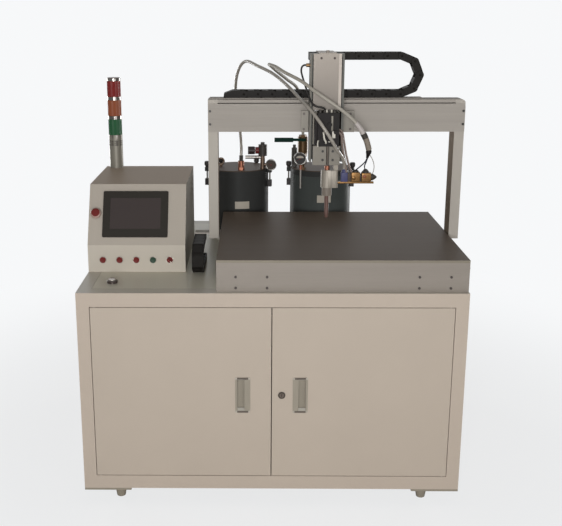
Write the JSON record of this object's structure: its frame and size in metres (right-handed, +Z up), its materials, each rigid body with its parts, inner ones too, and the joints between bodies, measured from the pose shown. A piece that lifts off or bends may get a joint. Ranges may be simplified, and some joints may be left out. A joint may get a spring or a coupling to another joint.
{
  "type": "potting machine",
  "caption": "Potting machine: steel cabinet with doors, sloped touch-screen console, signal tower, platform under a moving bridge, carriage with lifting mixing head, and two pressure tanks.",
  "frame": {"origin": "middle of the machine's plan, on the floor", "axes": "+X to the right as seen from the doors, +Y to the back, +Z up"},
  "size_m": [1.237, 1.0095, 1.4168],
  "materials": {
    "cabinet_paint": "satin, warm grey",
    "deck_steel": "satin",
    "door_paint": "satin, warm light grey",
    "foot_steel": "dark, satin",
    "pin_steel": "turned",
    "zinc_plate": "zinc plated",
    "control_plastic": "fine grain",
    "drive_plastic": "fine grain",
    "pull_paint": "satin",
    "chrome_trim": "polished",
    "console_paint": "fine grain",
    "bezel_plastic": "fine grain",
    "screen_glass": "dark, glossy",
    "collar_metal": "satin",
    "red_cap": "glossy",
    "green_cap": "glossy",
    "tower_tube": "satin",
    "green_lens": "clear dyed, glossy",
    "amber_lens": "clear dyed, glossy",
    "red_lens": "clear dyed, glossy",
    "platform_metal": "satin",
    "platform_plate": "polished, mirror-like",
    "rail_steel": "ground",
    "chain_plastic": "fine grain",
    "frame_aluminium": "brushed",
    "beam_aluminium": "brushed along its length",
    "screw_black": "blackened",
    "cover_metal": "satin, light",
    "slide_metal": "blasted",
    "valve_black": "smooth",
    "rotor_metal": "copper red",
    "mixer_metal": "turned",
    "nozzle_plastic": "red brown, glossy",
    "brass_parts": "satin",
    "tank_paint": "smooth, near black",
    "lid_metal": "satin",
    "clamp_plastic": "smooth",
    "fitting_brass": "aged",
    "knob_plastic": "smooth",
    "lever_grip": "dipped, dark green",
    "feed_tube": "translucent tube",
    "sleeve_tube": "braided",
    "cable_rubber": "matt"
  },
  "bodies": {
    "base": {"cabinet_shell": "cabinet_paint", "back_panel": "cabinet_paint", "worktop": "deck_steel", "feet": "foot_steel", "hinge_pins": "pin_steel", "mounting_plate": "zinc_plate", "controller": "control_plastic", "motor_drives": "drive_plastic", "console_housing": "console_paint", "hmi_bezel": "bezel_plastic", "hmi_screen": "screen_glass", "button_collars": "collar_metal", "tower_body": "tower_tube", "lens_green": "green_lens", "lens_amber": "amber_lens", "lens_red": "red_lens", "platform_frame": "platform_metal", "platform_top": "platform_plate", "y_guides": "rail_steel", "y_chain": "chain_plastic", "tanks": "tank_paint", "tank_lids": "lid_metal", "lid_clamps": "clamp_plastic", "tank_fittings": "fitting_brass", "feed_hose": "feed_tube", "sleeve_hose": "sleeve_tube"},
    "left_door": {"left_door": "door_paint", "left_pull": "pull_paint"},
    "right_door": {"right_door": "door_paint", "right_pull": "pull_paint"},
    "door_lock": {"door_lock": "chrome_trim"},
    "button_one": {"button_one": "red_cap"},
    "button_two": {"button_two": "red_cap"},
    "button_three": {"button_three": "red_cap"},
    "start_button": {"start_button": "green_cap"},
    "mode_selector": {"mode_selector": "red_cap"},
    "stop_button": {"stop_button": "red_cap"},
    "table_button": {"table_button": "chrome_trim"},
    "y_screw": {"y_screw": "pin_steel"},
    "bridge": {"cross_plate": "frame_aluminium", "columns": "frame_aluminium", "beam": "beam_aluminium", "x_guides": "rail_steel", "x_chain": "chain_plastic", "bridge_screws": "screw_black"},
    "x_screw": {"x_screw": "pin_steel"},
    "carriage": {"carriage_plate": "frame_aluminium", "lift_housing": "frame_aluminium", "lift_cover": "cover_metal", "lift_guides": "rail_steel", "head_cable": "cable_rubber"},
    "lift_screw": {"lift_screw": "pin_steel"},
    "head": {"slide_plate": "slide_metal", "dosing_valve": "valve_black", "mixer_body": "mixer_metal", "nozzle": "nozzle_plastic", "side_valves": "brass_parts"},
    "mixer_rotor": {"mixer_rotor": "rotor_metal"},
    "regulator_knob": {"regulator_knob": "knob_plastic"},
    "tank_lever": {"tank_lever": "lever_grip"}
  },
  "joints": [
    {"name": "y_slide", "type": "slide", "parent": "base", "child": "bridge", "axis": [0, 1, 0], "range_m": [-0.24, 0.23], "deforming": ["y_chain", "feed_hose", "sleeve_hose"]},
    {"name": "y_screw_turn", "type": "hinge", "parent": "base", "child": "y_screw", "pos_m": [0.1965, -0.2, 0.75], "axis": [0, 1, 0], "range_deg": [-4330, 4150]},
    {"name": "x_slide", "type": "slide", "parent": "bridge", "child": "carriage", "axis": [1, 0, 0], "range_m": [-0.28, 0.26], "deforming": ["x_chain"]},
    {"name": "x_screw_turn", "type": "hinge", "parent": "bridge", "child": "x_screw", "pos_m": [0.1965, -0.076, 1.203], "axis": [1, 0, 0], "range_deg": [-5050, 4690]},
    {"name": "z_slide", "type": "slide", "parent": "carriage", "child": "head", "axis": [0, 0, 1], "range_m": [-0.06, 0], "deforming": ["head_cable"]},
    {"name": "lift_screw_turn", "type": "hinge", "parent": "carriage", "child": "lift_screw", "pos_m": [0.1585, -0.174, 1.2], "axis": [0, 0, 1], "range_deg": [-2170, 10]},
    {"name": "mixer_spin", "type": "hinge", "parent": "head", "child": "mixer_rotor", "pos_m": [0.1625, -0.225, 1], "axis": [0, 0, 1], "continuous": true},
    {"name": "left_door_hinge", "type": "hinge", "parent": "base", "child": "left_door", "pos_m": [-0.5645, -0.4935, 0.3785], "axis": [0, 0, -1], "range_deg": [0, 110]},
    {"name": "right_door_hinge", "type": "hinge", "parent": "base", "child": "right_door", "pos_m": [0.5275, -0.4935, 0.3785], "axis": [0, 0, 1], "range_deg": [0, 110]},
    {"name": "lock_turn", "type": "hinge", "parent": "right_door", "child": "door_lock", "pos_m": [0.0135, -0.49, 0.374], "axis": [0, -1, 0], "range_deg": [0, 90]},
    {"name": "button_one_press", "type": "slide", "parent": "base", "child": "button_one", "axis": [0, 1, 0], "range_m": [0, 0.003], "stiffness_N_per_m": 400},
    {"name": "button_two_press", "type": "slide", "parent": "base", "child": "button_two", "axis": [0, 1, 0], "range_m": [0, 0.003], "stiffness_N_per_m": 400},
    {"name": "button_three_press", "type": "slide", "parent": "base", "child": "button_three", "axis": [0, 1, 0], "range_m": [0, 0.003], "stiffness_N_per_m": 400},
    {"name": "start_button_press", "type": "slide", "parent": "base", "child": "start_button", "axis": [0, 1, 0], "range_m": [0, 0.003], "stiffness_N_per_m": 400},
    {"name": "mode_selector_turn", "type": "hinge", "parent": "base", "child": "mode_selector", "pos_m": [-0.3495, -0.262, 0.7484], "axis": [0, -1, 0], "range_deg": [0, 90]},
    {"name": "stop_button_press", "type": "slide", "parent": "base", "child": "stop_button", "axis": [0, 0.8817, -0.4718], "range_m": [0, 0.005], "stiffness_N_per_m": 600},
    {"name": "table_button_press", "type": "slide", "parent": "base", "child": "table_button", "axis": [0, 0, -1], "range_m": [0, 0.003], "stiffness_N_per_m": 600},
    {"name": "tank_lever_turn", "type": "hinge", "parent": "base", "child": "tank_lever", "pos_m": [0.1115, 0.279, 1.069], "axis": [0, 1, 0], "range_deg": [0, 90]},
    {"name": "regulator_knob_turn", "type": "hinge", "parent": "base", "child": "regulator_knob", "pos_m": [-0.0835, 0.322, 1.023], "axis": [1, 0, 0], "range_deg": [0, 720]}
  ],
  "couplings": [
    {"joint": "y_screw_turn", "follows": "y_slide", "rad_per_m": 314.16},
    {"joint": "x_screw_turn", "follows": "x_slide", "rad_per_m": 314.16},
    {"joint": "lift_screw_turn", "follows": "z_slide", "rad_per_m": 628.32}
  ]
}
